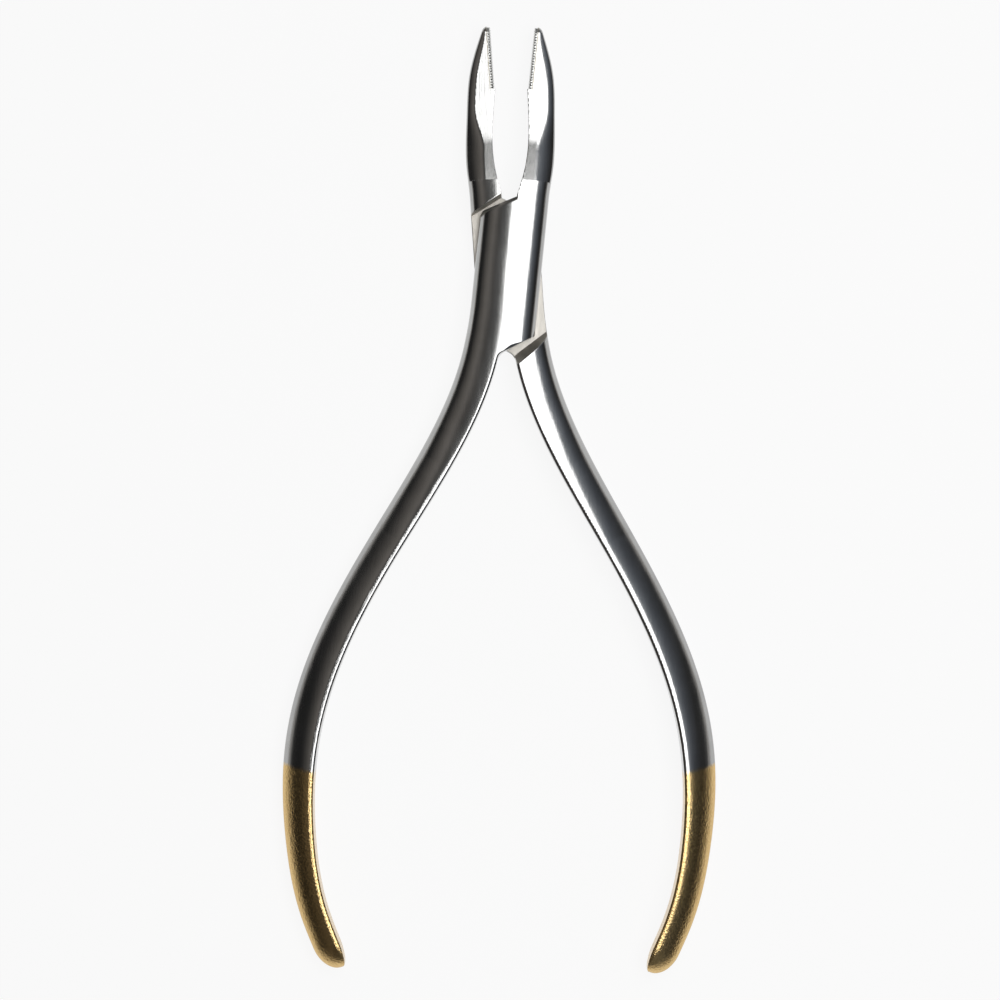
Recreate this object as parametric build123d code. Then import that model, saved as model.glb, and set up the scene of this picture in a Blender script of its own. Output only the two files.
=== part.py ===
from build123d import *
import math
import os
import numpy as np

# Orthodontic pliers with a lap joint. All sizes in mm.
# Each arm is drawn closed, about the pivot axis (Z) in the plane where the two halves meet:
# +Y runs to the tips, the handle bows out to -X and the jaw lies on +X.
# Both arms come from the same blank; the rear one is the blank turned half round about Y.

# Lap joint
joint_width = 10.0
lap_thickness = 3.6
side_flat = 0.35
lap_reach = 10.05
lap_angle = 28.0
lap_gap = 0.06
shoulder_gap = 0.20
handle_shoulder_draft = 21.0
jaw_shoulder_draft = 4.0
ground_back = 0.22
crotch_gap = 0.15
crotch_web = 1.9
crotch_web_gap = 0.45

# Handle: each station's distance below the one before, and its outer edge's distance from the closing line
neck_flare = 0.50
neck_flare_start = 4.0
flare_step, flare_offset = 12.2, 8.84
shank_step, shank_offset = 18.0, 17.02
belly_step, belly_offset = 18.0, 23.94
bow_step, bow_offset = 13.0, 25.84
tail_step, tail_offset = 14.0, 24.30
toe_step, toe_offset = 12.0, 20.40
end_step, end_offset = 3.5, 18.55
end_round = 4.1
end_bias = 0.5
shank_width = 4.9
bow_width = 4.88
tail_width = 4.4
toe_width = 4.1
shank_half = 3.25
bow_half = 3.05
toe_half = 2.45
inner_round = 0.5
inner_crown = 0.2

# Jaw: each station's distance above the one before, its outer edge and its half depth before grinding
belly_rise, jaw_belly_offset = 4.2, 5.18
mid_rise, jaw_mid_offset = 8.0, 4.64
taper_rise, jaw_taper_offset = 6.5, 3.54
tip_rise, jaw_tip_offset = 6.5, 1.25
relief_rise, relief_offset = 3.2, 0.76
relief_slope = 0.2
heel_relief = 0.03
jaw_inner_round = 0.2
jaw_crown = 0.1
jaw_mid_half = 2.85
jaw_taper_half = 2.05
jaw_tip_half = 1.30

# Ground faces of the jaw: where they start and bend, with the half depth left
facet_rise = 2.3
facet_length, facet_half = 6.3, 2.50
nose_length, nose_half = 0.9, 1.10
tip_half = 0.65

# Brazed carbide insert
insert_length = 9.4
insert_thickness = 0.75
braze_thickness = 0.08
closing_gap = 0.06
tooth_pitch = 0.40
tooth_depth = 0.12

# Pivot screw
thread_radius = 1.5
thread_length = 2.5
thread_relief = 0.2
shank_radius = 1.7
running_gap = 0.03
head_radius = 2.0
head_sink = 0.08
head_cone = 0.75
slot_width = 0.7
slot_depth = 0.5

# Opening between the arms as the part stands
rest_opening = 9.65

# How near two edges lie to count as one where pieces of an arm are joined
fuse_tolerance = 0.001


def curve(points, start_slope):
    """Cubic spline through (position, value) points: set slope at the start, straight past the end."""
    at = np.array([p[0] for p in points])
    value = np.array([p[1] for p in points])
    gap = np.diff(at)
    rise = np.diff(value) / gap
    count = len(points)
    system = np.zeros((count, count))
    known = np.zeros(count)
    system[0, 0:2] = 2 * gap[0], gap[0]
    known[0] = 6 * (rise[0] - start_slope)
    system[-1, -1] = 1
    for i in range(1, count - 1):
        system[i, i - 1:i + 2] = gap[i - 1], 2 * (gap[i - 1] + gap[i]), gap[i]
        known[i] = 6 * (rise[i] - rise[i - 1])
    bend = np.linalg.solve(system, known)

    def read(position, as_slope=False):
        i = int(min(max(np.searchsorted(at, position) - 1, 0), count - 2))
        step = min(position, at[-1]) - at[i]
        slope = rise[i] - gap[i] * (2 * bend[i] + bend[i + 1]) / 6
        turn = (bend[i + 1] - bend[i]) / gap[i]
        inside = value[i] + step * (slope + step * (bend[i] / 2 + step * turn / 6))
        here = slope + step * (bend[i] + step * turn / 2)
        return float(here if as_slope else inside + here * (position - at[i] - step))

    return read


def section(left, right, half, left_round, right_round):
    """Closed section in the XZ plane: rounded corner pairs on the left and on the right."""
    (la, ld), (ra, rd) = left_round, right_round

    def corner(x, z, across, deep, start):
        plane = Plane(origin=(x, 0, z), x_dir=(1, 0, 0), z_dir=(0, -1, 0))
        return Edge.make_ellipse(across, deep, plane, start, start + 90)

    def side(x0, z0, x1, z1):
        return Edge.make_line((x0, 0, z0), (x1, 0, z1))

    return Wire([
        side(left + la, -half, right - ra, -half),
        corner(right - ra, rd - half, ra, rd, 270),
        side(right, rd - half, right, half - rd),
        corner(right - ra, half - rd, ra, rd, 0),
        side(right - ra, half, left + la, half),
        corner(left + la, half - ld, la, ld, 90),
        side(left, half - ld, left, ld - half),
        corner(left + la, ld - half, la, ld, 180),
    ])


beta = math.radians(lap_angle)
crotch_inset = crotch_gap + inner_round
crotch_reach = (lap_reach + crotch_inset * math.sin(beta)) / math.cos(beta)
joint_half_width = joint_width / 2
flare_run = crotch_reach - neck_flare_start
flare_slope = 2 * neck_flare / flare_run
neck_width = (joint_half_width + neck_flare - crotch_gap) / math.hypot(1, flare_slope)

flare_reach = crotch_reach + flare_step
shank_reach = flare_reach + shank_step
belly_reach = shank_reach + belly_step
bow_reach = belly_reach + bow_step
tail_reach = bow_reach + tail_step
toe_reach = tail_reach + toe_step
end_reach = toe_reach + end_step
clear = 2 * end_reach

jaw_belly_reach = crotch_reach + belly_rise
jaw_mid_reach = jaw_belly_reach + mid_rise
jaw_taper_reach = jaw_mid_reach + taper_rise
jaw_reach = jaw_taper_reach + tip_rise
insert_reach = jaw_reach - insert_length
face_x = closing_gap / 2

handle_outer = curve([
    (crotch_reach, joint_half_width + neck_flare),
    (flare_reach, flare_offset),
    (shank_reach, shank_offset),
    (belly_reach, belly_offset),
    (bow_reach, bow_offset),
    (tail_reach, tail_offset),
    (toe_reach, toe_offset),
    (end_reach, end_offset),
], flare_slope)
handle_width = curve([
    (crotch_reach, neck_width),
    (shank_reach, shank_width),
    (bow_reach, bow_width),
    (tail_reach, tail_width),
    (toe_reach, toe_width),
], 0)
handle_half = curve([
    (crotch_reach, lap_thickness),
    (shank_reach, shank_half),
    (bow_reach, bow_half),
    (toe_reach, toe_half),
], 0)
jaw_outer = curve([
    (crotch_reach, joint_half_width),
    (jaw_belly_reach, jaw_belly_offset),
    (jaw_mid_reach, jaw_mid_offset),
    (jaw_taper_reach, jaw_taper_offset),
    (jaw_reach, jaw_tip_offset),
], 0)
jaw_half = curve([
    (crotch_reach, lap_thickness),
    (jaw_mid_reach, jaw_mid_half),
    (jaw_taper_reach, jaw_taper_half),
    (jaw_reach, jaw_tip_half),
], 0)
jaw_relief = curve([
    (crotch_reach, crotch_gap),
    (crotch_reach + relief_rise, relief_offset),
    (insert_reach, face_x + heel_relief),
], relief_slope)


def handle_section(reach, round_angle=0):
    """Section square to the handle, level at the joint, drawn in to its inner side to round the end."""
    lean = math.atan(handle_outer(reach, True))
    tilt = lean * min((reach - crotch_reach) / flare_step, 1)
    shrink = math.cos(math.radians(round_angle))
    past = end_round * math.sin(math.radians(round_angle))
    width = handle_width(reach) / math.cos(lean - tilt)
    across = width / 2 * (1 + end_bias * (1 - shrink))
    x = -handle_outer(reach) + across * math.cos(tilt) - past * math.sin(tilt)
    y = -reach - across * math.sin(tilt) - past * math.cos(tilt)
    span = width * shrink
    half = handle_half(reach) * shrink
    small = inner_round * shrink
    broad = span - small - inner_crown * shrink
    deep = half - side_flat * shrink
    place = Pos(x, y, 0) * Rot(Z=-math.degrees(tilt))
    return place * section(-span / 2, span / 2, half, (broad, deep), (small, small))


def joint_section(y):
    """Section of the lap, as thick as the whole joint, rounded like the handle and the jaw it runs into."""
    run = max(-y - neck_flare_start, 0) / flare_run
    left = -joint_half_width - neck_flare * run ** 2
    deep = lap_thickness - side_flat
    handle_side = neck_width * math.hypot(1, flare_slope) - inner_round - inner_crown
    jaw_side = joint_half_width - crotch_gap - jaw_inner_round - jaw_crown
    outline = section(left, joint_half_width, lap_thickness, (handle_side, deep), (jaw_side, deep))
    return Pos(0, y, 0) * outline


def jaw_section(y):
    """Section of the jaw before its faces are ground."""
    left = jaw_relief(y) if y < insert_reach else face_x
    right = jaw_outer(y)
    half = jaw_half(y)
    broad = right - left - jaw_inner_round - jaw_crown
    small = jaw_inner_round
    return Pos(0, y, 0) * section(left, right, half, (small, small), (broad, half - side_flat))


def between(first, last, count):
    """Evenly spaced positions, ends included."""
    return [first + (last - first) * i / (count - 1) for i in range(count)]


def web(leg, bottom, top):
    """Web that fills the inside corner between the lap's lower edge and the handle."""
    y = -crotch_reach
    ax, ay = math.cos(beta), math.sin(beta)
    bx, by = -math.sin(math.atan(flare_slope)), -math.cos(math.atan(flare_slope))
    outline = [
        (-crotch_inset + leg * ax, y + leg * ay, bottom),
        (-crotch_gap + leg * bx, y + leg * by, bottom),
        (-crotch_inset - leg * (ax + bx), y - leg * (ay + by), bottom),
    ]
    return extrude(make_face(Polyline(outline, close=True)), top - bottom, dir=(0, 0, 1))


def arm_blank():
    """One whole arm before its lap, insert seat and screw hole are cut."""
    handle = Solid.make_loft([handle_section(r) for r in between(crotch_reach, end_reach, 14)])
    dome = Solid.make_loft([handle_section(end_reach, a) for a in (0, 25, 48, 67, 80)])
    joint = Solid.make_loft([joint_section(y) for y in between(-crotch_reach, crotch_reach, 7)])
    for turn in (lap_angle, lap_angle + 180):
        beyond = Box(clear, clear, clear, align=(Align.CENTER, Align.MIN, Align.CENTER))
        joint = joint - Rot(Z=turn) * Pos(0, lap_reach, 0) * beyond
    stations = between(crotch_reach, insert_reach, 11)
    stations += between(insert_reach, jaw_reach, 7)[1:]
    jaw = Solid.make_loft([jaw_section(y) for y in stations])
    facet_start = crotch_reach + facet_rise
    profile = [
        (facet_start, lap_thickness),
        (facet_start + facet_length, facet_half),
        (jaw_reach - nose_length, nose_half),
        (jaw_reach, tip_half),
        (jaw_reach + tip_rise, tip_half),
        (jaw_reach + tip_rise, 2 * lap_thickness),
        (facet_start, 2 * lap_thickness),
    ]
    for sign in (1, -1):
        face = make_face(Polyline([(0, y, sign * z) for y, z in profile], close=True))
        jaw = jaw - extrude(face, joint_width, dir=(1, 0, 0), both=True)
    web_half = lap_thickness - side_flat / 2
    return joint.fuse(handle, dome, jaw, web(crotch_web, -web_half, web_half), tol=fuse_tolerance)


def channel():
    """What is cut from the back of an arm for the other arm's lap: a channel with drafted shoulders."""
    top = lap_gap / 2
    floor = -2 * lap_thickness
    reach = lap_reach + shoulder_gap
    jaw_run = (top - floor) * math.tan(math.radians(jaw_shoulder_draft))
    handle_run = (top - floor) * math.tan(math.radians(handle_shoulder_draft))
    outline = [
        (0, reach, top),
        (0, reach + jaw_run, floor),
        (0, -reach - handle_run, floor),
        (0, -reach, top),
    ]
    face = make_face(Polyline(outline, close=True))
    return Rot(Z=-lap_angle) * extrude(face, clear, dir=(1, 0, 0), both=True)


def insert_slice(near, far):
    """Block over the insert's length between two distances from the closing line."""
    corner = (Align.MIN, Align.MIN, Align.CENTER)
    return Pos(near, insert_reach, 0) * Box(far - near, 2 * insert_length, clear, align=corner)


seam_x = face_x + insert_thickness
seat_x = seam_x + braze_thickness

turned = Rot(Y=180)
blank = arm_blank()
web_room = turned * web(crotch_web + crotch_web_gap, -lap_gap / 2, lap_thickness)
half_arm = blank - channel() - web_room - insert_slice(face_x - insert_thickness, seat_x)
insert = blank & insert_slice(face_x, seam_x)
braze = blank & insert_slice(seam_x, seat_x)
teeth = [(face_x - tooth_depth, jaw_reach + tooth_pitch), (face_x - tooth_depth, insert_reach)]
for i in range(int(insert_length / tooth_pitch)):
    root = insert_reach + i * tooth_pitch
    teeth += [(face_x, root), (face_x + tooth_depth, root + tooth_pitch / 2)]
teeth += [(face_x, root + tooth_pitch), (face_x, jaw_reach + tooth_pitch)]
tooth_gaps = make_face(Polyline([(x, y, 0) for x, y in teeth], close=True))
insert = insert - extrude(tooth_gaps, 2 * lap_thickness, dir=(0, 0, 1), both=True)

up = (Align.CENTER, Align.CENTER, Align.MIN)
down = (Align.CENTER, Align.CENTER, Align.MAX)

# The back of the joint is ground to one plane, on which the part lies.
rest_plane = lap_thickness - ground_back
below_rest = Pos(0, 0, -rest_plane) * Box(clear, 2 * clear, clear, align=down)

# Screw: threaded into a blind hole of the front arm, turning in the rear arm, head flush in the ground back
head_top = rest_plane - head_sink
head_base = head_top - head_cone
bore_radius = shank_radius + running_gap
seat_radius = head_radius + running_gap
seat_base = head_base - running_gap
lap_face = Pos(0, 0, lap_gap / 2)
thread = lap_face * Cylinder(thread_radius, thread_length, align=up)
thread_hole = lap_face * Cylinder(thread_radius, thread_length + thread_relief, align=up)
shank = Pos(0, 0, -head_base) * Cylinder(shank_radius, head_base + lap_gap / 2, align=up)
head_face = Pos(0, 0, -head_top)
head = head_face * Cone(head_radius, shank_radius, head_cone, align=up)
slot = head_face * Box(slot_width, 3 * head_radius, 2 * slot_depth)
screw = thread + shank + head - slot

front = half_arm - thread_hole - below_rest
bore = Cylinder(bore_radius, 8 * lap_thickness)
seat = head_face * Cone(seat_radius, bore_radius, head_top - seat_base, align=up)
seat = seat + head_face * Cylinder(seat_radius, lap_thickness, align=down)
rear = (turned * half_arm) - bore - seat - below_rest

front_turn = Pos(0, 0, rest_plane) * Rot(Z=-rest_opening / 2)
rear_turn = Pos(0, 0, rest_plane) * Rot(Z=rest_opening / 2)
nodes = {
    "front_arm": front_turn * front,
    "rear_arm": rear_turn * rear,
    "pivot_screw": front_turn * screw,
    "front_insert": front_turn * insert,
    "rear_insert": rear_turn * turned * insert,
    "front_braze": front_turn * braze,
    "rear_braze": rear_turn * turned * braze,
}

os.makedirs("parts", exist_ok=True)
for name, shape in nodes.items():
    export_step(shape, "parts/" + name + ".step")
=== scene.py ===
import math
import bpy
import numpy as np
from mathutils import Matrix, Vector


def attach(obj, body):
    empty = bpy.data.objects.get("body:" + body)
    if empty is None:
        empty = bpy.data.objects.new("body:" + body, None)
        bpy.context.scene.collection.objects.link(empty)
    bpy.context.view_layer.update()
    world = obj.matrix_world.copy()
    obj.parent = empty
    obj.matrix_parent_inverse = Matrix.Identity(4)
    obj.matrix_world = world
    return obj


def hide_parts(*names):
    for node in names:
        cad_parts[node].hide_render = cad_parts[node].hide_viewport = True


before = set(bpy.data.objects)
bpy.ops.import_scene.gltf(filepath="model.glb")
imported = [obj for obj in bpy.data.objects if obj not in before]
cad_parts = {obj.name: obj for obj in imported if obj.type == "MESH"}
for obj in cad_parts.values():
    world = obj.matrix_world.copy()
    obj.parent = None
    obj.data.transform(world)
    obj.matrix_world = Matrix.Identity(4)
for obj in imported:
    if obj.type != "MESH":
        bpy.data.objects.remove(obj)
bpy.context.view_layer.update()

# Lengths in mm until a mesh is made. Each arm is shaped closed about the pivot axis, where the two laps meet:
# +Y runs to the tips, the handle bows out to -X and the jaw lies on +X. The rear arm is turned half round about Y.
MM = 0.001

# Lap joint: upper and lower edge of the lap, what is milled for the other lap, and edges
JOINT_HALF = 5.0
LAP = 3.6
SIDE_FLAT = 0.35
LAP_REACH, BETA = 10.05, math.radians(28.0)
LOW_REACH, LOW_BETA = 9.94, math.radians(33.0)
LAP_GAP = 0.06
SHOULDER_GAP = 0.20
HANDLE_DRAFT = math.radians(21.0)
JAW_DRAFT = math.radians(4.0)
ROOM_FROM, ROOM_TO = -16, -6
GROUND_BACK = 0.22
CROTCH_GAP = 0.15
CROTCH_BLEND, LAP_BLEND = 0.35, 0.9
EDGE, SHARP_EDGE = 0.10, 0.05
BEVEL = math.radians(35.0)
LAP_BEVEL = 0.38
CROTCH_BEVEL, HANDLE_BEVEL, LOW_BEVEL = 0.14, 0.12, 0.32
CROTCH_EASE, HANDLE_EASE = 0.05, 0.06

# Handle: stations from the crotch down
NECK_FLARE, FLARE_START = 0.50, 4.0
INNER_ROUND, INNER_CROWN = 0.5, 0.2
CROTCH = (LAP_REACH + (CROTCH_GAP + INNER_ROUND) * math.sin(BETA)) / math.cos(BETA)
FLARE_RUN = CROTCH - FLARE_START
FLARE_SLOPE = 2 * NECK_FLARE / FLARE_RUN
NECK_WIDTH = (JOINT_HALF + NECK_FLARE - CROTCH_GAP) / math.hypot(1, FLARE_SLOPE)
FLARE = CROTCH + 12.2
SHANK = FLARE + 18.0
BELLY = SHANK + 18.0
BOW = BELLY + 13.0
TAIL = BOW + 14.0
TOE = TAIL + 12.0
END = TOE + 3.5
END_ROUND = 4.1
END_BIAS = 0.5
FOOT_RANGE = (-60, 140)

# Section of the handle: its powers at the crown and at the rim, its inner flat and its upright side
SECTION_AT = [8.0, 14.0, 18.6, 23.0, 27.5, 33.4, 39.0, 60.0, 73.0, END]
CROWN_POWER = [1.8, 1.8, 1.7, 1.65, 1.5, 1.34, 1.30, 1.30, 1.28, 1.30]
RIM_POWER = [3.5, 3.3, 2.8, 2.5, 2.0, 1.80, 1.45, 1.42, 1.40, 1.50]
FLAT_AT = [0.0, 8.0, 14.0, 20.0, 30.0]
FLAT_WIDTH = [0.60, 0.35, 0.15, 0.25, INNER_ROUND + INNER_CROWN]
SKEW_AT = [6.0, 13.0]
SKEW = [math.hypot(1, FLARE_SLOPE), 1.0]
SIDE_AT = [60.0, 73.0]
SIDE_HEIGHT = [SIDE_FLAT, 0.12]

# Jaw: stations from the crotch up, ground faces (half depth and fall per mm) and rounded cheeks
JAW_BELLY = CROTCH + 4.2
JAW_MID = JAW_BELLY + 8.0
JAW_TAPER = JAW_MID + 6.5
JAW_TIP = JAW_TAPER + 6.5
JAW_ROUND, JAW_CROWN = 0.05, 0.1
JAW_CROWN_POWER, JAW_RIM_POWER = 2.3, 3.5
TIP_ROUND, TIP_CORNER = 0.35, 0.55
FACET, FACET_RUN = CROTCH + 2.3, 6.3
FACET_STEP, FACET_FALL, FACET_BLEND = 0.22, 0.162, 0.08
FLANK_HALF, FLANK_FALL = 2.36, 0.0835
TIP_HALF, TIP_FALL = 0.65, 0.5
JAW_SPARE = [0.35, 0.8]
CHEEK_AT = [14.0, 16.0, 19.4, 21.4, 22.7, 24.5, 27.5, 30.4, 33.4, 35.5, 36.9]
CHEEK_WIDTH = [2.68, 2.86, 2.90, 2.26, 1.72, 1.32, 1.30, 1.25, 1.10, 0.80, 0.35]
CHEEK_EASE = (-0.8, -0.4, 0.0, 0.4, 0.8)
CHEEK_SPREAD, CHEEK_DROP = 1.2, 0.66
CHEEK_CROWN_POWER, CHEEK_RIM_POWER = 1.35, 1.7
FACE_SHARE, FACE_BLEND = 0.99, 0.06

# Insert
INSERT_LENGTH, INSERT_THICK, BRAZE, CLOSING_GAP = 9.4, 0.75, 0.08, 0.06
INSERT = JAW_TIP - INSERT_LENGTH
FACE_X = CLOSING_GAP / 2
SEAM_X = FACE_X + INSERT_THICK
SEAT_X = SEAM_X + BRAZE
TOOTH_PITCH, TOOTH_DEPTH = 0.40, 0.12
TOOTH_BEVEL, TOOTH_TILT = 0.34, math.radians(42.0)

# Screw
THREAD_R, THREAD_DEPTH = 1.5, 2.7
BORE_R, SEAT_R, SEAT_DEPTH, HEAD_SINK = 1.73, 2.03, 0.78, 0.08

REST = LAP - GROUND_BACK
OPENING = math.radians(9.65)


def spline(points, start_slope):
    """Cubic through (position, value) points, with a set slope at the start and straight past both ends."""
    at, value = np.array(points, float).T
    gap = np.diff(at)
    rise = np.diff(value) / gap
    count = len(at)
    system = np.zeros((count, count))
    known = np.zeros(count)
    system[0, 0:2] = 2 * gap[0], gap[0]
    known[0] = 6 * (rise[0] - start_slope)
    system[-1, -1] = 1
    for i in range(1, count - 1):
        system[i, i - 1:i + 2] = gap[i - 1], 2 * (gap[i - 1] + gap[i]), gap[i]
        known[i] = 6 * (rise[i] - rise[i - 1])
    bend = np.linalg.solve(system, known)

    def read(position):
        """Value and slope at a position."""
        inside = np.clip(position, at[0], at[-1])
        i = np.clip(np.searchsorted(at, inside) - 1, 0, count - 2)
        step = inside - at[i]
        slope = rise[i] - gap[i] * (2 * bend[i] + bend[i + 1]) / 6
        turn = (bend[i + 1] - bend[i]) / gap[i]
        here = slope + step * (bend[i] + step * turn / 2)
        level = value[i] + step * (slope + step * (bend[i] / 2 + step * turn / 6))
        return level + here * (position - inside), here

    return read


handle_edge = spline([
    (CROTCH, JOINT_HALF + NECK_FLARE), (FLARE, 8.84), (SHANK, 17.02), (BELLY, 23.94),
    (BOW, 25.84), (TAIL, 24.30), (TOE, 20.40), (END, 18.55)], FLARE_SLOPE)
handle_width = spline([
    (CROTCH, NECK_WIDTH), (SHANK, 4.9), (BOW, 4.88), (TAIL, 4.4), (TOE, 4.1)], 0)
handle_half = spline([(CROTCH, LAP), (SHANK, 3.25), (BOW, 3.05), (TOE, 2.45)], 0)
jaw_edge = spline([
    (CROTCH, JOINT_HALF), (JAW_BELLY, 5.18), (JAW_MID, 4.64), (JAW_TAPER, 3.70), (JAW_TIP, 1.30)], 0)
jaw_half = spline([(CROTCH, LAP), (JAW_MID, 2.85), (JAW_TAPER, 2.05), (JAW_TIP, 1.30)], 0)
jaw_relief = spline([(CROTCH, CROTCH_GAP), (CROTCH + 3.2, 0.76), (INSERT, FACE_X + 0.03)], 0.2)


def round_max(a, b, radius):
    """Intersection of two fields with its edge rounded."""
    a, b = a + radius, b + radius
    outside = np.sqrt(np.maximum(a, 0) ** 2 + np.maximum(b, 0) ** 2)
    return outside + np.minimum(np.maximum(a, b), 0) - radius


def soft_min(a, b, size):
    """Union of two fields with the inside corner filled."""
    part = np.maximum(size - np.abs(a - b), 0) / size
    return np.minimum(a, b) - part * part * size / 4


def soft_max(a, b, size):
    """Intersection of two fields that meet at a shallow angle, with its edge eased."""
    return -soft_min(-a, -b, size)


def bevel(top, side, width, tilt):
    """Field of a bevel between a top and a side, as wide as given."""
    return (side + width) * math.sin(tilt) + top * math.cos(tilt)


def shoulder(inset, height, broad, deep, half, crown, rim):
    """Section bounded by an outer edge: broad rounding from the crown down to a narrow upright side."""
    u = np.maximum(broad - inset, 0) / broad
    q = np.maximum(height - (half - deep), 0) / deep
    steep = np.hypot(crown * (u + 1e-6) ** (crown - 1) / broad, rim * (q + 1e-6) ** (rim - 1) / deep)
    curved = (u ** crown + q ** rim - 1) / np.maximum(steep, 0.15)
    flat = np.maximum(-inset, height - half)
    return np.where((u > 0) & (q > 0), curved, flat)


def across_lap(x, y, slant):
    """Distance across the lap, square to one of its slanted edges."""
    return y * math.cos(slant) - x * math.sin(slant)


def outer_edge(reach):
    """Left edge of joint and handle: its distance from the closing line, and its slope."""
    run = np.maximum(reach - FLARE_START, 0) / FLARE_RUN
    low, low_slope = handle_edge(np.maximum(reach, CROTCH))
    high = JOINT_HALF + NECK_FLARE * run ** 2
    below = reach > CROTCH
    return np.where(below, low, high), np.where(below, low_slope, FLARE_SLOPE * run)


def follow(x, y):
    """Foot of a point on the outer edge of the handle: reach, distance in from the edge."""
    reach = -y + 0 * x
    for _ in range(5):
        edge, slope = outer_edge(reach)
        reach = reach - (slope * (x + edge) + (y + reach)) / (1 + slope * slope)
        reach = np.clip(reach, *FOOT_RANGE)
    edge, slope = outer_edge(reach)
    return reach, ((x + edge) - slope * (y + reach)) / np.sqrt(1 + slope * slope)


def inner_bound(x, y, z, inset, width):
    """Field of the inner side of the handle and the lower edge of the lap, joined by a fillet."""
    low = np.clip(1 - np.abs(z) / LAP, 0, 1)
    lap_edge = -LOW_REACH - across_lap(x, y, LOW_BETA)
    return soft_min(inset - width, lap_edge, CROTCH_BLEND + (LAP_BLEND - CROTCH_BLEND) * low)


def handle(x, y, z):
    """Field of lap and handle: crowned section, bevelled inner edges and a rounded end."""
    reach, inset = follow(x, y)
    stop = np.maximum(np.minimum(reach, END), CROTCH)
    width = handle_width(stop)[0]
    half = handle_half(stop)[0]
    past = np.maximum(reach - END, 0) * np.sqrt(1 + handle_edge(END)[1] ** 2) / END_ROUND
    level = np.sqrt(np.maximum(1 - past * past, 0.0))
    core = width / 2
    inset = inset - END_BIAS * core * (1 - level)
    broad = width * np.interp(reach, SKEW_AT, SKEW) - np.interp(reach, FLAT_AT, FLAT_WIDTH)
    deep = half - np.interp(reach, SIDE_AT, SIDE_HEIGHT)
    crown, rim = np.interp(reach, SECTION_AT, CROWN_POWER), np.interp(reach, SECTION_AT, RIM_POWER)
    body = shoulder(inset, np.abs(z), broad, deep, half, crown, rim)
    bound = inner_bound(x, y, z, inset, width)
    on_handle = np.clip((-y - CROTCH + 1.0) / 3.0, 0, 1)
    on_lap = np.clip(y + CROTCH - 0.3, 0, 1)
    cut = bevel(body, bound, CROTCH_BEVEL + HANDLE_BEVEL * on_handle + LOW_BEVEL * on_lap, BEVEL)
    body = soft_max(body, cut, CROTCH_EASE + HANDLE_EASE * on_handle)
    body = round_max(body, bound, SHARP_EDGE)
    ends = (np.hypot(np.maximum(1 + body / core, 0), past) - 1) * core
    return np.where(past > 0, ends, body)


def blank(x, y, z):
    """Field of a whole arm before its lap is cut: negative inside."""
    height = np.abs(z)
    up = np.maximum(y, CROTCH)
    side, side_slope = jaw_edge(up)
    inset = (side - x) / np.sqrt(1 + side_slope ** 2)
    spare = np.where(y > FACET, np.interp(y, [FACET, FACET + FACET_RUN], JAW_SPARE), 0)
    rise = jaw_half(up)[0] + spare
    span = JOINT_HALF - CROTCH_GAP - JAW_ROUND - JAW_CROWN
    jaw = shoulder(inset, height, span, rise - SIDE_FLAT, rise, JAW_CROWN_POWER, JAW_RIM_POWER)
    body = np.maximum(handle(x, y, z), jaw)

    facet = LAP - FACET_STEP - FACET_FALL * (y - FACET)
    flank = FLANK_HALF - FLANK_FALL * (y - FACET - FACET_RUN)
    ground = np.minimum(soft_max(facet, flank, FACET_BLEND), TIP_HALF - TIP_FALL * (y - JAW_TIP))
    band = sum(np.interp(y + d, CHEEK_AT, CHEEK_WIDTH) for d in CHEEK_EASE) / len(CHEEK_EASE)
    wide = CHEEK_SPREAD * band
    cheek = shoulder(
        inset + wide - band, height, wide, wide * CHEEK_DROP, ground, CHEEK_CROWN_POWER, CHEEK_RIM_POWER)
    face = np.maximum((height - ground) * FACE_SHARE, cheek)
    body = np.where(y > FACET, soft_max(body, face, FACE_BLEND), body)

    inner = np.where(up < INSERT, jaw_relief(np.minimum(up, INSERT))[0], FACE_X)
    lap_edge = across_lap(x, y, BETA) - LAP_REACH
    open_side = np.minimum(inner - x, np.maximum(lap_edge, bevel(body, lap_edge, LAP_BEVEL, BEVEL)))
    body = round_max(body, open_side, np.where(y > CROTCH, JAW_ROUND, EDGE))
    return round_max(body, round_max(-inset, y - JAW_TIP, TIP_CORNER), TIP_ROUND)


def relief(x, y, z):
    """Field of what is milled off an arm so that the other one's lap and crotch have room."""
    top = LAP_GAP / 2
    deep = np.maximum(top - z, -1.0)
    up_side = across_lap(-x, y, BETA) - LAP_REACH - SHOULDER_GAP - deep * math.tan(JAW_DRAFT)
    down_side = -across_lap(-x, y, LOW_BETA) - LOW_REACH - SHOULDER_GAP - deep * math.tan(HANDLE_DRAFT)
    up_side, down_side = up_side * math.cos(JAW_DRAFT), down_side * math.cos(HANDLE_DRAFT)
    channel = np.maximum(np.maximum(up_side, down_side), z - top)
    other_reach, other_inset = follow(-x, y)
    other_width = handle_width(np.maximum(other_reach, CROTCH))[0]
    room = inner_bound(-x, y, z, other_inset, other_width) - SHOULDER_GAP
    room = np.maximum(np.maximum(room, z - top), np.maximum(y - ROOM_TO, ROOM_FROM - y))
    return np.minimum(channel, room)


def milled(x, y, z):
    """Whether points on an arm's surface lie on what was milled for the other arm."""
    near = 0.03
    return (np.abs(relief(x, y, z)) < near) & (blank(x, y, z) < -near)


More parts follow.
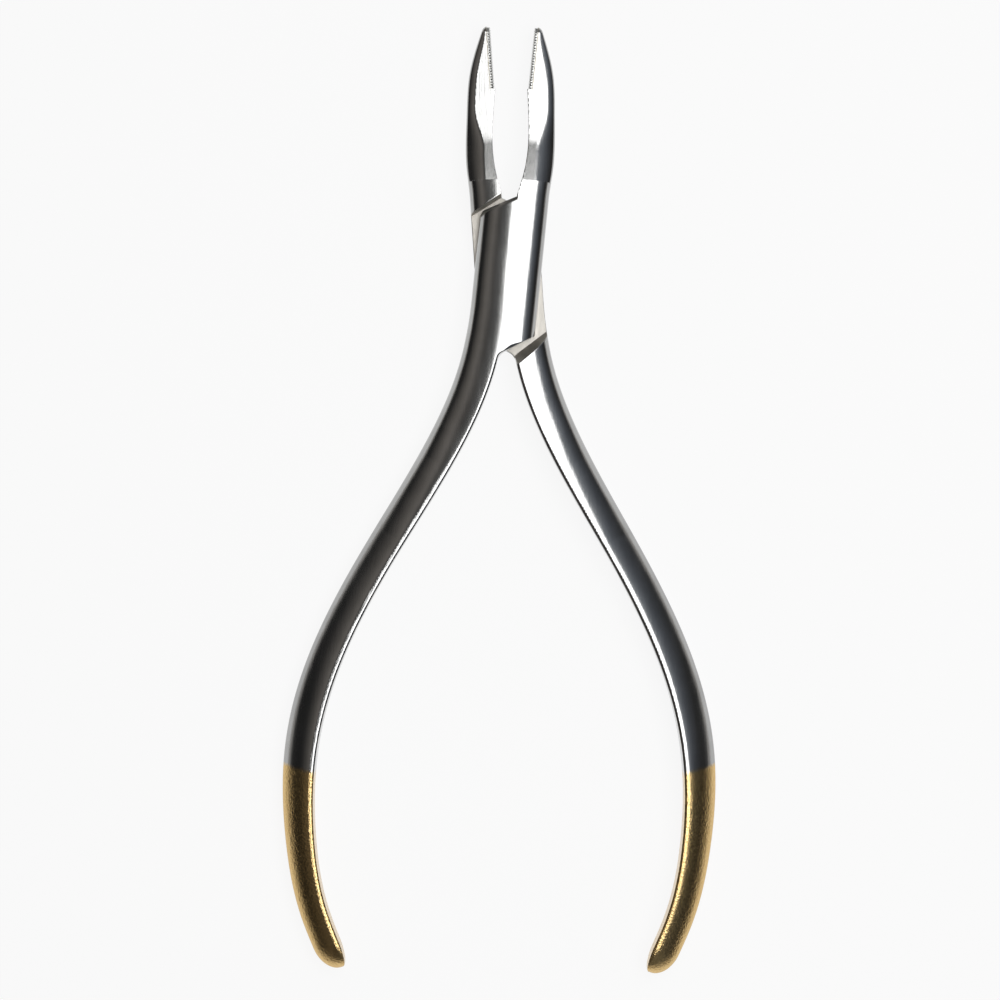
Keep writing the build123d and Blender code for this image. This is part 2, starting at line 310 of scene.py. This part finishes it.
def arm(x, y, z, rear):
    """Field of one arm: blank, less the other arm's lap, the insert's seat and the screw hole."""
    body = round_max(blank(x, y, z), -relief(x, y, z), EDGE)
    seat = np.maximum(x - SEAT_X, INSERT - y)
    body = np.maximum(body, -seat)
    radius = np.sqrt(x * x + y * y)
    if rear:
        body = round_max(body, z - REST, EDGE)
        cone = np.clip((z - (REST - HEAD_SINK - SEAT_DEPTH)) / SEAT_DEPTH, 0, 1)
        return round_max(body, BORE_R + (SEAT_R - BORE_R) * cone - radius, SHARP_EDGE)
    body = round_max(body, -z - REST, EDGE)
    return np.maximum(body, np.minimum(THREAD_R - radius, LAP_GAP / 2 + THREAD_DEPTH - z))


def insert(x, y, z):
    """Field of a carbide insert: a strip of the blank with cross teeth on its gripping face."""
    tooth = np.abs(((y - INSERT) / TOOTH_PITCH) % 1 - 0.5) * 2
    body = np.maximum(blank(x, y, z), x - SEAM_X)
    edge = bevel(body, FACE_X - x, TOOTH_BEVEL, TOOTH_TILT) + 2 * TOOTH_DEPTH * (1 - tooth)
    face = FACE_X + TOOTH_DEPTH * (1 - tooth) - x
    return np.maximum(np.maximum(np.maximum(body, edge), face), INSERT - y)


def slope(field, at, h=0.004):
    """Unit gradient of a field at points."""
    tilt = np.empty_like(at)
    for d in range(3):
        move = np.zeros(3)
        move[d] = h
        ahead, back = at + move, at - move
        tilt[:, d] = field(*ahead.T) - field(*back.T)
    return tilt / np.maximum(np.linalg.norm(tilt, axis=1), 1e-12)[:, None]


def crossing(field, near, far, first, last):
    """Points where a field passes zero between pairs of points with unlike signs."""
    for split in (None, 0.5, None, None):
        share = (first / (first - last) if split is None else np.full(len(first), split))[:, None]
        spot = near + share * (far - near)
        level = field(*spot.T)
        same = (level < 0) == (first < 0)
        near, first = np.where(same[:, None], spot, near), np.where(same, level, first)
        far, last = np.where(same[:, None], far, spot), np.where(same, last, level)
    return near + (first / (first - last))[:, None] * (far - near)


def grid_surface(field, xs, ys, zs):
    """Closed mesh of a field's zero surface: one point per grid cell, where the tangent planes in it meet best,
    four-sided faces, and at each corner of a face the normal just inside that face."""
    slab = 24
    values = np.empty((len(xs), len(ys), len(zs)))
    for j in range(0, len(ys), slab):
        part = ys[j:j + slab]
        values[:, j:j + slab] = field(xs[:, None, None], part[None, :, None], zs[None, None, :])
    inside = values < 0
    count = np.zeros([n - 1 for n in inside.shape], np.int8)
    for a in (0, 1):
        for b in (0, 1):
            for c in (0, 1):
                count += inside[a:a + len(xs) - 1, b:b + len(ys) - 1, c:c + len(zs) - 1]
    cells = np.stack(np.nonzero((count > 0) & (count < 8)), 1)
    number = np.full(count.shape, -1, np.int64)
    number[tuple(cells.T)] = np.arange(len(cells))
    axes = (xs, ys, zs)

    def position(index):
        return np.stack([axes[d][index[:, d]] for d in range(3)], 1)

    # Sums per cell: products of the normals (6), normals by level (3), points (3), count (1)
    pairs = [(0, 0), (0, 1), (0, 2), (1, 1), (1, 2), (2, 2)]
    sums = np.zeros((len(cells), 13))
    faces = []
    for axis in range(3):
        low = [slice(None)] * 3
        high = [slice(None)] * 3
        low[axis], high[axis] = slice(None, -1), slice(1, None)
        edge = np.stack(np.nonzero(inside[tuple(low)] != inside[tuple(high)]), 1)
        ahead = edge + np.eye(3, dtype=int)[axis]
        spot = crossing(
            field, position(edge), position(ahead), values[tuple(edge.T)], values[tuple(ahead.T)])
        normal = slope(field, spot)
        level = (normal * spot).sum(1)
        products = [normal[:, a] * normal[:, b] for a, b in pairs]
        terms = np.column_stack(products + [normal * level[:, None], spot, np.ones(len(spot))])
        p, q = [d for d in range(3) if d != axis]
        ring = []
        for dp, dq in ((-1, -1), (0, -1), (0, 0), (-1, 0)):
            at = edge.copy()
            at[:, p] += dp
            at[:, q] += dq
            cell = number[tuple(at.T)]
            ring.append(cell)
            for column in range(sums.shape[1]):
                sums[:, column] += np.bincount(cell, terms[:, column], len(cells))
        quad = np.stack(ring, 1)
        entering = inside[tuple(ahead.T)]
        flip = entering if axis != 1 else ~entering
        quad[flip] = quad[flip][:, ::-1]
        faces.append(quad)
    faces = np.concatenate(faces)

    system = np.empty((len(cells), 3, 3))
    for column, (a, b) in enumerate(pairs):
        system[:, a, b] = system[:, b, a] = sums[:, column] / sums[:, 12]
    middle = sums[:, 9:12] / sums[:, 12:]
    wanted = sums[:, 6:9] / sums[:, 12:] - (system @ middle[:, :, None])[:, :, 0]
    hold, pull, inward = 0.01, 0.03, 0.3
    step = np.linalg.solve(system + hold * np.eye(3), wanted[:, :, None])[:, :, 0]
    points = np.clip(middle + step, position(cells), position(cells + 1))
    points = points - np.clip(field(*points.T), -pull, pull)[:, None] * slope(field, points)

    corners = points[faces]
    sample = corners + inward * (corners.mean(1, keepdims=True) - corners)
    return points, faces, slope(field, sample.reshape(-1, 3))


def spaced(*runs):
    """Grid positions from runs of (start, end, step)."""
    parts = [np.linspace(a, b, max(int(round((b - a) / s)), 1), endpoint=False) for a, b, s in runs]
    return np.concatenate(parts + [np.array([runs[-1][1]])])


def place(rear):
    """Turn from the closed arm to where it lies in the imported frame, in metres."""
    spin = Matrix.Rotation(OPENING / 2 if rear else -OPENING / 2, 4, "Z")
    flip = Matrix.Rotation(math.pi, 4, "Y") if rear else Matrix.Identity(4)
    return Matrix.Scale(MM, 4) @ Matrix.Translation((0, 0, REST)) @ spin @ flip


def make_piece(name, surface, rear, materials, node, second=None):
    """Piece of the scene in place of a CAD node; faces where `second` holds get the second material."""
    points, faces, normals = surface
    where = np.array(place(rear))
    turn = where[:3, :3] / MM
    mesh = bpy.data.meshes.new(name)
    mesh.from_pydata(points @ where[:3, :3].T + where[:3, 3], [], faces)
    mesh.shade_smooth()
    mesh.normals_split_custom_set(normals @ turn.T)
    for material in materials:
        mesh.materials.append(material)
    if second is not None:
        mesh.polygons.foreach_set("material_index", second(*points[faces].mean(1).T).astype(np.int32))
    piece = bpy.data.objects.new(name, mesh)
    bpy.context.scene.collection.objects.link(piece)
    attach(piece, "rear_half" if rear else "front_half")
    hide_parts(node)


def node(tree, kind, **inputs):
    made = tree.nodes.new(kind)
    for key, value in inputs.items():
        made.inputs[key.replace("_", " ")].default_value = value
    return made


def feed(tree, value, socket):
    """Link an output to a node's input, or set the input's own value."""
    if hasattr(value, "is_linked"):
        tree.links.new(value, socket)
    else:
        socket.default_value = value


def calculate(tree, operation, *values):
    """Math node; each value is an output or a number."""
    made = tree.nodes.new("ShaderNodeMath")
    made.operation = operation
    for socket, value in zip(made.inputs, values):
        feed(tree, value, socket)
    return made.outputs[0]


def map_range(tree, value, start, end, first=0.0, last=1.0):
    made = node(tree, "ShaderNodeMapRange", From_Min=start, From_Max=end, To_Min=first, To_Max=last)
    tree.links.new(value, made.inputs["Value"])
    return made.outputs["Result"]


def new_metal(name):
    """Material with a Principled shader for bare metal."""
    made = bpy.data.materials.new(name)
    made.use_nodes = True
    shader = made.node_tree.nodes["Principled BSDF"]
    shader.inputs["Metallic"].default_value = 1.0
    return made, made.node_tree, shader


def coordinates(tree, kind):
    """X, Y and Z of a texture coordinate."""
    where = tree.nodes.new("ShaderNodeTexCoord")
    split = tree.nodes.new("ShaderNodeSeparateXYZ")
    tree.links.new(where.outputs[kind], split.inputs["Vector"])
    return split.outputs


def noise(tree, scale, detail, stretch=(1, 1, 1)):
    """Noise over the piece's own coordinates, in features per metre."""
    where = tree.nodes.new("ShaderNodeTexCoord")
    fit = node(tree, "ShaderNodeMapping", Scale=stretch)
    tree.links.new(where.outputs["Object"], fit.inputs["Vector"])
    made = node(tree, "ShaderNodeTexNoise", Scale=scale, Detail=detail, Roughness=0.6)
    tree.links.new(fit.outputs["Vector"], made.inputs["Vector"])
    return made.outputs["Fac"]


def ramp(tree, value, stops):
    """Colour ramp from stops of (position, grey or colour)."""
    made = tree.nodes.new("ShaderNodeValToRGB")
    for at, _ in stops[2:]:
        made.color_ramp.elements.new(at)
    for element, (at, colour) in zip(made.color_ramp.elements, stops):
        element.position = at
        element.color = (colour,) * 3 + (1,) if isinstance(colour, float) else tuple(colour) + (1,)
    tree.links.new(value, made.inputs["Fac"])
    return made.outputs["Color"]


def mix(tree, factor, first, second):
    made = tree.nodes.new("ShaderNodeMix")
    made.data_type = "RGBA"
    for socket, value in zip((made.inputs["Factor"], made.inputs[6], made.inputs[7]), (factor, first, second)):
        feed(tree, value, socket)
    return made.outputs[2]


def add_bump(tree, shader, height, strength, distance):
    made = node(tree, "ShaderNodeBump", Strength=strength, Distance=distance)
    tree.links.new(height, made.inputs["Height"])
    tree.links.new(made.outputs["Normal"], shader.inputs["Normal"])


# Edge of the gold plating in metres: where it starts on the axis, how it slants to both sides, leans and wanders
GOLD_START, GOLD_SLANT, GOLD_LEAN, GOLD_WANDER = -0.0813, 0.275, 0.0155, 0.0007


def polished_steel():
    """Mirror-polished steel; the last third of the handle is gold-plated and slightly grained."""
    made, tree, shader = new_metal("polished_steel")
    x, y, _ = coordinates(tree, "Object")
    edge = y
    for part, share in (
            (calculate(tree, "ABSOLUTE", x), -GOLD_SLANT), (x, -GOLD_LEAN), (noise(tree, 900, 3), GOLD_WANDER)):
        edge = calculate(tree, "MULTIPLY_ADD", part, share, edge)
    plated = map_range(tree, edge, GOLD_START, GOLD_START + GOLD_WANDER, 1.0, 0.0)
    grain = noise(tree, 3000, 3)
    steel = ramp(tree, noise(tree, 260, 4), [(0.3, (0.39, 0.39, 0.385)), (0.7, (0.45, 0.45, 0.445))])
    gold = ramp(tree, grain, [(0.32, (0.62, 0.43, 0.185)), (0.68, (0.73, 0.525, 0.25))])
    tree.links.new(mix(tree, plated, steel, gold), shader.inputs["Base Color"])
    smooth = ramp(tree, noise(tree, 700, 4, (1, 0.12, 1)), [(0.3, 0.13), (0.7, 0.19)])
    speckled = ramp(tree, grain, [(0.3, 0.15), (0.7, 0.22)])
    tree.links.new(mix(tree, plated, smooth, speckled), shader.inputs["Roughness"])
    lines = ramp(tree, noise(tree, 2400, 4, (1, 0.06, 1)), [(0.0, 0.45), (1.0, 0.55)])
    add_bump(tree, shader, mix(tree, plated, lines, grain), 0.18, 0.0004)
    return made


def plain_metal(name, dark, light, rough, scale, strength, stretch=(1, 1, 1)):
    """Ground or sintered metal: uneven colour, gloss and fine relief."""
    made, tree, shader = new_metal(name)
    grain = noise(tree, scale, 4, stretch)
    tree.links.new(ramp(tree, grain, [(0.3, dark), (0.7, light)]), shader.inputs["Base Color"])
    tree.links.new(ramp(tree, grain, [(0.3, rough), (0.7, rough + 0.12)]), shader.inputs["Roughness"])
    add_bump(tree, shader, grain, strength, 0.0003)
    return made


steel = polished_steel()
satin = plain_metal(
    "milled_steel", (0.50, 0.475, 0.435), (0.61, 0.585, 0.54), 0.44, 2200, 0.12, (1, 0.3, 1))
carbide = plain_metal("carbide", (0.50, 0.50, 0.49), (0.66, 0.66, 0.645), 0.20, 3500, 0.15)
braze = plain_metal("braze", (0.20, 0.17, 0.11), (0.50, 0.44, 0.30), 0.30, 2500, 0.2)
screw = plain_metal(
    "screw_steel", (0.38, 0.38, 0.38), (0.52, 0.52, 0.52), 0.22, 1800, 0.15, (1, 0.1, 1))

# Pieces: fine grids where edges are, wider ones along the handle and the middle of the lap
coarse = 1.0
FINE, HANDLE_ACROSS, HANDLE_ALONG = 0.13 * coarse, 0.20 * coarse, 0.48 * coarse
LAP_ALONG, DEPTH_STEP, TOOTH_STEP = 0.30 * coarse, 0.14 * coarse, 0.05 * coarse
across = spaced((-27.0, -7.0, HANDLE_ACROSS), (-7.0, 5.6, FINE))
along = spaced((-107.0, -17.0, HANDLE_ALONG), (-17.0, -7.5, FINE), (-7.5, 7.5, LAP_ALONG), (7.5, 37.6, FINE))
through = spaced((-3.8, 3.8, DEPTH_STEP))
for name, rear in (("front", False), ("rear", True)):
    shape = grid_surface(lambda x, y, z: arm(x, y, z, rear), across, along, through)
    make_piece(name + "_arm_skin", shape, rear, [steel, satin], name + "_arm", milled)
strip = grid_surface(
    insert, spaced((-0.05, 0.85, TOOTH_STEP)), spaced((27.4, 37.2, TOOTH_STEP)), spaced((-2.6, 2.6, FINE)))
for name, rear in (("front", False), ("rear", True)):
    make_piece(name + "_insert_skin", strip, rear, [carbide], name + "_insert")
for name, material in (("front_braze", braze), ("rear_braze", braze), ("pivot_screw", screw)):
    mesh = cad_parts[name].data
    mesh.materials.clear()
    mesh.materials.append(material)

# Floor: a hair below the part, white to the camera and in reflections, with the part's shadow
FLOOR_HALF, FLOOR_DROP, FLOOR_GLOW = 2, 0.00003, 0.90
floor_mesh = bpy.data.meshes.new("floor")
floor_mesh.from_pydata(
    [(FLOOR_HALF * x, FLOOR_HALF * y, 0) for x, y in ((-1, -1), (1, -1), (1, 1), (-1, 1))], [], [(0, 1, 2, 3)])
floor = bpy.data.objects.new("floor", floor_mesh)
floor.location.z = -FLOOR_DROP
bpy.context.scene.collection.objects.link(floor)
paper = bpy.data.materials.new("floor")
paper.use_nodes = True
tree = paper.node_tree
tree.nodes.clear()
matt = node(tree, "ShaderNodeBsdfDiffuse", Color=(0.85, 0.85, 0.85, 1))
glow = node(tree, "ShaderNodeEmission", Color=(1, 1, 1, 1), Strength=1.0)
rays = tree.nodes.new("ShaderNodeLightPath").outputs
seen = calculate(tree, "MAXIMUM", rays["Is Camera Ray"], rays["Is Glossy Ray"])
seen = calculate(tree, "MAXIMUM", seen, rays["Is Transmission Ray"])
blend = tree.nodes.new("ShaderNodeMixShader")
tree.links.new(calculate(tree, "MULTIPLY", seen, FLOOR_GLOW), blend.inputs["Fac"])
tree.links.new(matt.outputs["BSDF"], blend.inputs[1])
tree.links.new(glow.outputs["Emission"], blend.inputs[2])
out = tree.nodes.new("ShaderNodeOutputMaterial")
tree.links.new(blend.outputs["Shader"], out.inputs["Surface"])
floor_mesh.materials.append(paper)

# Light: a large softbox over the right side, facing straight down
KEY_AT, KEY_SIZE, KEY_RADIANCE = (0.105, -0.005, 0.40), (0.254, 0.370), 3.4
lamp = bpy.data.lights.new("key", "AREA")
lamp.shape = "RECTANGLE"
lamp.size, lamp.size_y = KEY_SIZE
lamp.energy = KEY_RADIANCE * math.pi * KEY_SIZE[0] * KEY_SIZE[1]
key = bpy.data.objects.new("key", lamp)
bpy.context.scene.collection.objects.link(key)
key.location = KEY_AT
key.rotation_euler = Vector((0, 0, 1)).to_track_quat("Z", "Y").to_euler()

# Studio around it: walls that change from left to right, darker towards -Y, and a pale band low down
world = bpy.data.worlds.new("studio")
bpy.context.scene.world = world
world.use_nodes = True
tree = world.node_tree
sky = tree.nodes["Background"]
x, y, z = coordinates(tree, "Generated")
walls = ramp(tree, map_range(tree, x, -1.0, 1.0), [
    (0.0, (0.02, 0.02, 0.02)), (0.08, (0.03, 0.03, 0.03)), (0.20, (0.20, 0.185, 0.17)),
    (0.25, (0.25, 0.23, 0.215)), (0.32, (0.10, 0.095, 0.09)), (0.40, (0.12, 0.12, 0.12)),
    (0.47, (0.28, 0.28, 0.27)), (0.75, (0.32, 0.34, 0.37)), (0.80, (0.25, 0.27, 0.305)),
    (0.87, (0.11, 0.12, 0.14)), (0.95, (0.04, 0.04, 0.04)), (1.0, (0.03, 0.03, 0.03))])
dimming = ramp(tree, map_range(tree, y, -0.25, 0.0), [(0.0, 0.55), (1.0, 0.0)])
dimmed = mix(tree, dimming, walls, (0.0, 0.0, 0.0, 1))
low_band = ramp(tree, z, [(0.08, 1.0), (0.20, 0.0)])
tree.links.new(mix(tree, low_band, dimmed, (0.5, 0.48, 0.46, 1)), sky.inputs["Color"])
sky.inputs["Strength"].default_value = 1.0

# Camera: straight above, turned one degree; it aims off the pivot by AIM, in thousandths of the view
FOCAL, SENSOR, VIEW, ROLL = 120.0, 36.0, 0.14846, math.radians(1.0)
AIM = (-8, -225)
lens = bpy.data.cameras.new("camera")
lens.lens, lens.sensor_width = FOCAL, SENSOR
lens.clip_start, lens.clip_end = 0.01, 20.0
camera = bpy.data.objects.new("camera", lens)
bpy.context.scene.collection.objects.link(camera)
right = Vector((math.cos(ROLL), math.sin(ROLL), 0))
upward = Vector((-math.sin(ROLL), math.cos(ROLL), 0))
centre = right * (AIM[0] * VIEW / 1000) + upward * (AIM[1] * VIEW / 1000)
camera.location = centre + Vector((0, 0, REST * MM + VIEW * FOCAL / SENSOR))
camera.rotation_euler = (0, 0, ROLL)
bpy.context.scene.camera = camera
bpy.context.scene.view_settings.view_transform = "Standard"
